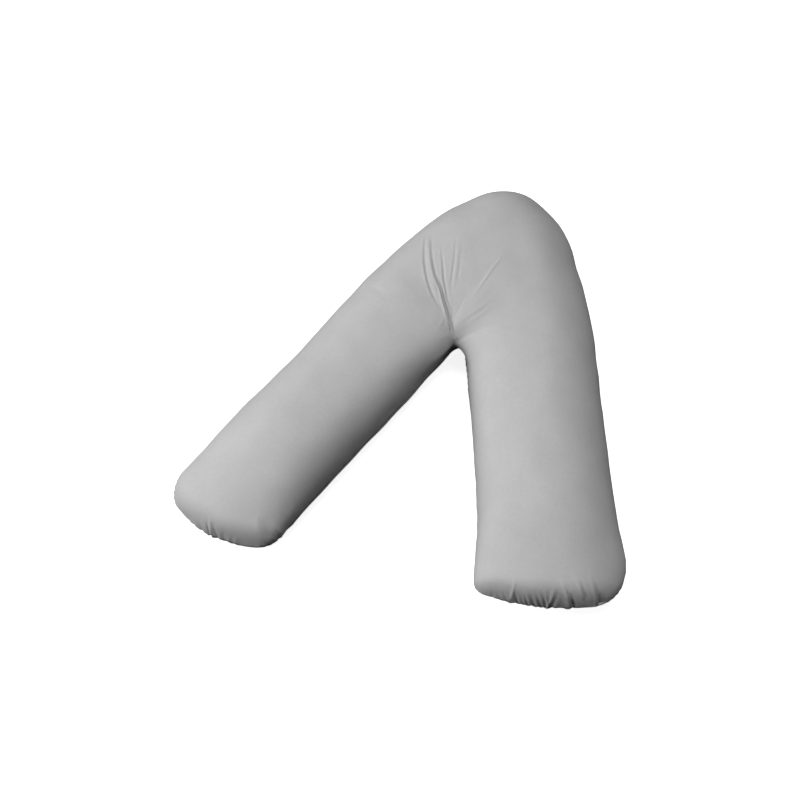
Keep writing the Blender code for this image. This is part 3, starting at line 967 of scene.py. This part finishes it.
class NodeSketch:
    """Short ways of adding and joining shader nodes in one node tree."""

    def __init__(self, tree: bpy.types.NodeTree) -> None:
        """Keep the tree that the nodes are added to."""
        self.tree = tree

    def join(self, value: Feed, socket: bpy.types.NodeSocket) -> None:
        """Feed a socket from another socket, or set it to a number, a vector or a colour."""
        if isinstance(value, bpy.types.NodeSocket):
            self.tree.links.new(value, socket)
        else:
            socket.default_value = value

    def maths(self, operation: str, *values: Feed) -> bpy.types.NodeSocket:
        """Add a Math node.

        Args:
            operation: what the node works out.
            values: what it works on.

        Returns:
            Its output.
        """
        node = self.tree.nodes.new("ShaderNodeMath")
        node.operation = operation
        for value, socket in zip(values, node.inputs):
            self.join(value, socket)
        return node.outputs[0]

    def swing(self, value: Feed, middle: float, share: float) -> bpy.types.NodeSocket:
        """How far a value lies from its middle, times a share."""
        return self.maths("MULTIPLY", self.maths("SUBTRACT", value, middle), share)

    def noise(self, place: Feed, grain: Grain) -> bpy.types.NodeSocket:
        """Add a Noise node.

        Args:
            place: where it is read.
            grain: how it looks.

        Returns:
            Its output, about one half on average.
        """
        node = self.tree.nodes.new("ShaderNodeTexNoise")
        for name, value in (("Vector", place), ("Scale", grain.scale), ("Detail", grain.detail),
                            ("Roughness", grain.roughness)):
            self.join(value, node.inputs[name])
        return node.outputs["Fac"]

    def scaled(self, place: Feed, factors: Tuple[float, float, float]) -> bpy.types.NodeSocket:
        """Multiply each coordinate of a place by its own factor.

        Args:
            place: the place.
            factors: the three factors.

        Returns:
            The scaled place.
        """
        node = self.tree.nodes.new("ShaderNodeVectorMath")
        node.operation = "MULTIPLY"
        self.join(place, node.inputs[0])
        self.join(factors, node.inputs[1])
        return node.outputs[0]

    def ramp(self, value: Feed, given: Tuple[float, float],
             wanted: Tuple[float, float] = (0.0, 1.0)) -> bpy.types.NodeSocket:
        """Carry a value smoothly from one range to another.

        Args:
            value: what is carried.
            given: its range.
            wanted: the range that it gets.

        Returns:
            The value in the wanted range, held at both ends.
        """
        node = self.tree.nodes.new("ShaderNodeMapRange")
        node.interpolation_type = "SMOOTHSTEP"
        names = ("Value", "From Min", "From Max", "To Min", "To Max")
        for name, setting in zip(names, (value, *given, *wanted)):
            self.join(setting, node.inputs[name])
        return node.outputs["Result"]


@dataclass(frozen=True)
class ShaderGroup:
    """A node group with named inputs and outputs, made once."""

    name: str
    inputs: Tuple[Tuple[str, str, float], ...]
    outputs: Tuple[str, ...]

    def start(self) -> Tuple[NodeSketch, bpy.types.Node, bpy.types.Node]:
        """Make the empty group.

        Returns:
            The sketch of its tree, the node of its inputs and the node of its outputs.
        """
        tree = bpy.data.node_groups.new(self.name, "ShaderNodeTree")
        for name, kind, value in self.inputs:
            socket = tree.interface.new_socket(name, in_out="INPUT", socket_type=kind)
            if kind == "NodeSocketFloat":
                socket.default_value = value
        for name in self.outputs:
            tree.interface.new_socket(name, in_out="OUTPUT", socket_type="NodeSocketFloat")
        return NodeSketch(tree), tree.nodes.new("NodeGroupInput"), tree.nodes.new("NodeGroupOutput")


@dataclass(frozen=True)
class PlainWeave:
    """Threads that cross over and under, with a little unevenness in their spacing."""

    pitch: float = 0.0008
    wander: float = 0.00022
    wander_grain: Grain = Grain(90.0, 2.0)
    crossing: Tuple[float, float] = (-0.12, 0.12)

    def group(self) -> bpy.types.NodeTree:
        """The weave's group.

        Returns:
            A group whose Height is each thread's rounded back, the sine of its place across the thread,
            shown where the product of both sines puts that thread on top.
        """
        spec = ShaderGroup("plain_weave", (
            ("Place", "NodeSocketVector", 0.0), ("Pitch", "NodeSocketFloat", self.pitch)), ("Height",))
        sketch, given, out = spec.start()
        parts = sketch.tree.nodes.new("ShaderNodeSeparateXYZ")
        sketch.join(given.outputs["Place"], parts.inputs[0])
        uneven = sketch.noise(given.outputs["Place"], self.wander_grain)
        drift = sketch.swing(uneven, 0.5, self.wander * 2.0)
        waves = []
        for name in ("X", "Y"):
            moved = sketch.maths("ADD", parts.outputs[name], drift)
            turns = sketch.maths("DIVIDE", moved, given.outputs["Pitch"])
            waves.append(sketch.maths("SINE", sketch.maths("MULTIPLY", turns, math.pi)))
        across, along = (sketch.maths("ABSOLUTE", wave) for wave in waves)
        mix = sketch.tree.nodes.new("ShaderNodeMix")
        on_top = sketch.ramp(sketch.maths("MULTIPLY", *waves), self.crossing)
        sketch.join(on_top, mix.inputs["Factor"])
        sketch.join(along, mix.inputs["A"])
        sketch.join(across, mix.inputs["B"])
        sketch.join(mix.outputs["Result"], out.inputs["Height"])
        return sketch.tree


@dataclass(frozen=True)
class BrushedNap:
    """Soft short fibres raised on the cloth, patches brushed lighter, and threads thicker than the rest."""

    patch: Grain = Grain(26.0, 3.0, 0.55)
    patch_range: Tuple[float, float] = (0.30, 0.70)
    mottle: Grain = Grain(150.0, 3.0, 0.6)
    fibre: Grain = Grain(420.0, 3.0, 0.65)
    slub: Grain = Grain(60.0, 2.0)
    slub_stretch: float = 14.0
    warp_slubs: Tuple[float, float] = (0.58, 0.78)
    weft_slubs: Tuple[float, float] = (0.60, 0.80)

    def group(self) -> bpy.types.NodeTree:
        """The nap's group.

        Returns:
            A group whose Patch changes over some centimetres, Mottle over some millimetres and Fibre
            over less, and whose Slub is the stronger of two noises stretched along the two threads.
        """
        spec = ShaderGroup("brushed_nap", (("Place", "NodeSocketVector", 0.0),),
                           ("Patch", "Mottle", "Fibre", "Slub"))
        sketch, given, out = spec.start()
        place = given.outputs["Place"]
        sketch.join(sketch.ramp(sketch.noise(place, self.patch), self.patch_range), out.inputs["Patch"])
        sketch.join(sketch.noise(place, self.mottle), out.inputs["Mottle"])
        sketch.join(sketch.noise(place, self.fibre), out.inputs["Fibre"])
        streaks = (
            sketch.ramp(sketch.noise(sketch.scaled(place, factors), self.slub), shown)
            for factors, shown in (((1.0, self.slub_stretch, 1.0), self.warp_slubs),
                                   ((self.slub_stretch, 1.0, 1.0), self.weft_slubs)))
        sketch.join(sketch.maths("MAXIMUM", *streaks), out.inputs["Slub"])
        return sketch.tree


@dataclass(frozen=True)
class SeamShade:
    """The seam line, where painted shade darkens the cloth in the groove."""

    reach: float = 0.003

    def group(self) -> bpy.types.NodeTree:
        """The seam's group.

        Returns:
            A group whose Groove, the mask of the painted shade, is 1 in the seam line and falls smoothly to
            0 at its reach.
        """
        spec = ShaderGroup("seam_shade", (
            ("Away", "NodeSocketFloat", 1.0), ("Reach", "NodeSocketFloat", self.reach)), ("Groove",))
        sketch, given, out = spec.start()
        near = sketch.maths("DIVIDE", given.outputs["Away"], given.outputs["Reach"])
        sketch.join(sketch.ramp(near, (0.0, 1.0), (1.0, 0.0)), out.inputs["Groove"])
        return sketch.tree


@dataclass(frozen=True)
class BrushedGreyCloth:
    """Light grey plain-weave cloth, matt and softly brushed.

    A share is how much of its tone the cloth changes by over an effect's whole range, a middle is what
    the effect is on average, and a rise is the height in metres that it gives.
    """

    tone: float = 0.545
    patch_share: float = 0.035
    mottle_share: float = 0.12
    fibre_share: float = 0.14
    slub_share: float = 0.035
    thread_share: float = 0.03
    # painted shade: darkens the cloth along every seam line, as if in the groove's shadow
    painted_seam_shade_share: float = 0.60
    noise_middle: float = 0.5
    slub_middle: float = 0.2
    thread_middle: float = 0.7
    weave_rise: float = 0.00010
    mottle_rise: float = 0.00022
    fibre_rise: float = 0.00022
    slub_rise: float = 0.00010
    roughness: float = 0.88
    fibre_roughness: float = 0.12
    sheen: float = 0.10
    sheen_roughness: float = 0.5
    specular: float = 0.25

    def material(self) -> bpy.types.Material:
        """The cloth's material.

        Returns:
            A material with the cloth's grey and painted shade along its seam lines, a roughness that
            changes with the fibre, the bump of the cloth's height and a little sheen.
        """
        material = bpy.data.materials.new("grey_cloth")
        material.use_nodes = True
        nodes = material.node_tree.nodes
        sketch = NodeSketch(material.node_tree)
        shader = nodes["Principled BSDF"]
        place = nodes.new("ShaderNodeUVMap")
        place.uv_map = CLOTH_PLACE
        away = nodes.new("ShaderNodeAttribute")
        away.attribute_name = SEAM_AWAY
        effects = []
        for effect in (PlainWeave(), BrushedNap(), SeamShade()):
            effects.append(nodes.new("ShaderNodeGroup"))
            effects[-1].node_tree = effect.group()
        weave, nap, seam = effects
        sketch.join(place.outputs["UV"], weave.inputs["Place"])
        sketch.join(place.outputs["UV"], nap.inputs["Place"])
        sketch.join(away.outputs["Fac"], seam.inputs["Away"])
        colour = nodes.new("ShaderNodeCombineColor")
        grey = self.grey(sketch, weave, nap, seam)
        for name in ("Red", "Green", "Blue"):
            sketch.join(grey, colour.inputs[name])
        swing = sketch.swing(nap.outputs["Fibre"], self.noise_middle, self.fibre_roughness)
        bump = nodes.new("ShaderNodeBump")
        bump.inputs["Distance"].default_value = 1.0
        sketch.join(self.height(sketch, weave, nap), bump.inputs["Height"])
        for name, value in (
            ("Base Color", colour.outputs["Color"]),
            ("Roughness", sketch.maths("ADD", self.roughness, swing)),
            ("Normal", bump.outputs["Normal"]),
            ("Sheen Weight", self.sheen),
            ("Sheen Roughness", self.sheen_roughness),
            ("Specular IOR Level", self.specular),
        ):
            sketch.join(value, shader.inputs[name])
        return material

    def grey(self, sketch: NodeSketch, weave: bpy.types.Node, nap: bpy.types.Node,
             seam: bpy.types.Node) -> bpy.types.NodeSocket:
        """The cloth's grey.

        Args:
            sketch: the sketch of the material's tree.
            weave: the weave's group.
            nap: the nap's group.
            seam: the seam's group, the mask of the painted shade along the seam line.

        Returns:
            The tone, times 1 plus each effect's distance from its middle times its share; the seam's share
            is painted shade that darkens the seam line.
        """
        change = 1.0
        for output, middle, share in (
            (nap.outputs["Patch"], self.noise_middle, self.patch_share),
            (nap.outputs["Mottle"], self.noise_middle, self.mottle_share),
            (nap.outputs["Fibre"], self.noise_middle, self.fibre_share),
            (nap.outputs["Slub"], self.slub_middle, self.slub_share),
            (weave.outputs["Height"], self.thread_middle, self.thread_share),
            # painted shade along the seam line
            (seam.outputs["Groove"], 0.0, -self.painted_seam_shade_share),
        ):
            change = sketch.maths("ADD", change, sketch.swing(output, middle, share))
        return sketch.maths("MULTIPLY", change, self.tone)

    def height(self, sketch: NodeSketch, weave: bpy.types.Node,
               nap: bpy.types.Node) -> bpy.types.NodeSocket:
        """The cloth's height.

        Args:
            sketch: the sketch of the material's tree.
            weave: the weave's group.
            nap: the nap's group.

        Returns:
            The sum of the threads', the mottle's, the fibres' and the slubs' heights.
        """
        height = sketch.maths("MULTIPLY", weave.outputs["Height"], self.weave_rise)
        for name, rise in (("Mottle", self.mottle_rise), ("Fibre", self.fibre_rise),
                           ("Slub", self.slub_rise)):
            height = sketch.maths("ADD", height, sketch.maths("MULTIPLY", nap.outputs[name], rise))
        return height


def outward(turn: float, elevation: float) -> Vector:
    """Unit direction out from the pillow.

    Args:
        turn: degrees to the right from straight ahead of the arms.
        elevation: degrees above the floor.

    Returns:
        The turn's sine and minus its cosine, both times the elevation's cosine, and its sine.
    """
    turn, elevation = math.radians(turn), math.radians(elevation)
    level = math.cos(elevation)
    return Vector((math.sin(turn) * level, -math.cos(turn) * level, math.sin(elevation)))


@dataclass(frozen=True)
class SoftLamp:
    """A large soft light; its turn is measured from the camera's side, to the right in the picture."""

    name: str
    turn: float
    elevation: float
    power: float
    distance: float = 5.0
    size: float = 2.4


@dataclass(frozen=True)
class PaleFloor:
    """A wide pale floor that glows for the camera alone and throws little light back under the pillow.

    tone and glow are what the camera sees, and bounce is the tone that every other ray meets.
    """

    half: float = 6.0
    tone: float = 0.95
    bounce: float = 0.06
    glow: float = 0.88
    roughness: float = 0.9

    def material(self) -> bpy.types.Material:
        """The floor's material.

        Returns:
            A material that mixes bounce and tone, and switches the glow on, by whether a ray comes from
            the camera.
        """
        material = bpy.data.materials.new("pale_floor")
        material.use_nodes = True
        nodes = material.node_tree.nodes
        sketch = NodeSketch(material.node_tree)
        seen = nodes.new("ShaderNodeLightPath").outputs["Is Camera Ray"]
        mix = nodes.new("ShaderNodeMix")
        mix.data_type = "RGBA"
        for name, value in (("Factor", seen), ("A", (self.bounce,) * 3 + (1.0,)),
                            ("B", (self.tone,) * 3 + (1.0,))):
            sketch.join(value, mix.inputs[name])
        for name, value in (
            ("Base Color", mix.outputs["Result"]),
            ("Emission Color", (1.0, 1.0, 1.0, 1.0)),
            ("Emission Strength", sketch.maths("MULTIPLY", seen, self.glow)),
            ("Roughness", self.roughness),
            ("Specular IOR Level", 0.0),
        ):
            sketch.join(value, nodes["Principled BSDF"].inputs[name])
        return material

    def build(self) -> bpy.types.Object:
        """Make the floor.

        Returns:
            Its object, a square about the origin.
        """
        mesh = bpy.data.meshes.new("floor")
        corners = [(x * self.half, y * self.half, 0.0) for x, y in ((-1, -1), (1, -1), (1, 1), (-1, 1))]
        mesh.from_pydata(corners, [], [(0, 1, 2, 3)])
        mesh.materials.append(self.material())
        floor = bpy.data.objects.new("floor", mesh)
        bpy.context.scene.collection.objects.link(floor)
        return floor


@dataclass
class Studio:
    """Pale floor, soft lights and the camera.

    elevation and turn are the camera's, in degrees, and distance is how far it stands from the place
    that it points at, given from the crook. Its sensor is in millimetres, its picture in pixels.
    """

    elevation: float = 60.0
    turn: float = 17.5
    distance: float = 2.6
    metres_per_pixel: float = 0.00172
    picture: int = 800
    sensor: float = 36.0
    aim_height: float = 0.06
    aim_from_crook: Tuple[float, float] = (-0.0704, -0.1192)
    crook: Tuple[float, float] = (0.0, 0.0)
    sky_glow: float = 0.88
    floor: PaleFloor = PaleFloor()
    lamps: Tuple[SoftLamp, ...] = (
        SoftLamp("overhead", 0.0, 90.0, 146.0),
        SoftLamp("side", 270.0, 34.0, 84.0),
        SoftLamp("low_side", 290.0, 18.0, 68.0),
        SoftLamp("low_front", 250.0, 18.0, 25.0),
        SoftLamp("far_side", 90.0, 30.0, 5.0),
        SoftLamp("back", 180.0, 40.0, 10.0),
    )

    @staticmethod
    def place(thing: bpy.types.Object, location: Vector, away: Vector) -> None:
        """Put a lamp or the camera in the scene.

        Args:
            thing: the lamp or the camera.
            location: where it stands.
            away: the direction that it points against.
        """
        thing.location = location
        thing.rotation_mode = "QUATERNION"
        thing.rotation_quaternion = away.to_track_quat("Z", "Y")
        bpy.context.scene.collection.objects.link(thing)

    def camera(self) -> bpy.types.Object:
        """The camera, turned about the pillow by the photo's angle to its middle line.

        Returns:
            The scene's camera. Its lens is the sensor times its distance over the width that it shows.
        """
        aim = Vector((self.crook[0] + self.aim_from_crook[0], self.crook[1] + self.aim_from_crook[1],
                      self.aim_height))
        back = outward(self.turn, self.elevation)
        data = bpy.data.cameras.new("camera")
        data.sensor_width = self.sensor
        data.lens = self.sensor * self.distance / (self.metres_per_pixel * self.picture)
        camera = bpy.data.objects.new("camera", data)
        self.place(camera, aim + back * self.distance, back)
        bpy.context.scene.camera = camera
        return camera

    def light(self, lamp: SoftLamp) -> bpy.types.Object:
        """A square soft light that points at the pillow.

        Args:
            lamp: where it stands and how it shines.

        Returns:
            The light, placed by its angle to the camera's side.
        """
        away = outward(lamp.turn + self.turn, lamp.elevation)
        data = bpy.data.lights.new(lamp.name, "AREA")
        data.size = lamp.size
        data.energy = lamp.power
        light = bpy.data.objects.new(lamp.name, data)
        self.place(light, away * lamp.distance + Vector((0.0, 0.0, self.aim_height)), away)
        return light

    def sky(self) -> bpy.types.World:
        """The surround.

        Returns:
            A pale world, which the camera sees and which throws no light.
        """
        world = bpy.data.worlds.new("studio")
        world.use_nodes = True
        nodes = world.node_tree.nodes
        background = nodes["Background"]
        sketch = NodeSketch(world.node_tree)
        seen = nodes.new("ShaderNodeLightPath").outputs["Is Camera Ray"]
        sketch.join((1.0, 1.0, 1.0, 1.0), background.inputs["Color"])
        sketch.join(sketch.maths("MULTIPLY", seen, self.sky_glow), background.inputs["Strength"])
        bpy.context.scene.world = world
        return world

    def build(self) -> None:
        """Set the floor, the lights, the sky and the camera, and show tones as they are."""
        self.floor.build()
        for lamp in self.lamps:
            self.light(lamp)
        self.sky()
        self.camera()
        bpy.context.scene.view_settings.view_transform = "Standard"


def main() -> None:
    """Build the pillow, dress it and set the studio round it."""
    logging.basicConfig(level=logging.INFO, format="%(name)s: %(message)s")
    sewn = Pillow()
    pillow = sewn.build()
    pillow.data.materials.append(BrushedGreyCloth().material())
    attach(pillow, "root")
    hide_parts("pillow")
    LOG.info("%s: %d faces", pillow.name, len(pillow.data.polygons))
    Studio(crook=sewn.crook).build()


if __name__ == "__main__":
    main()
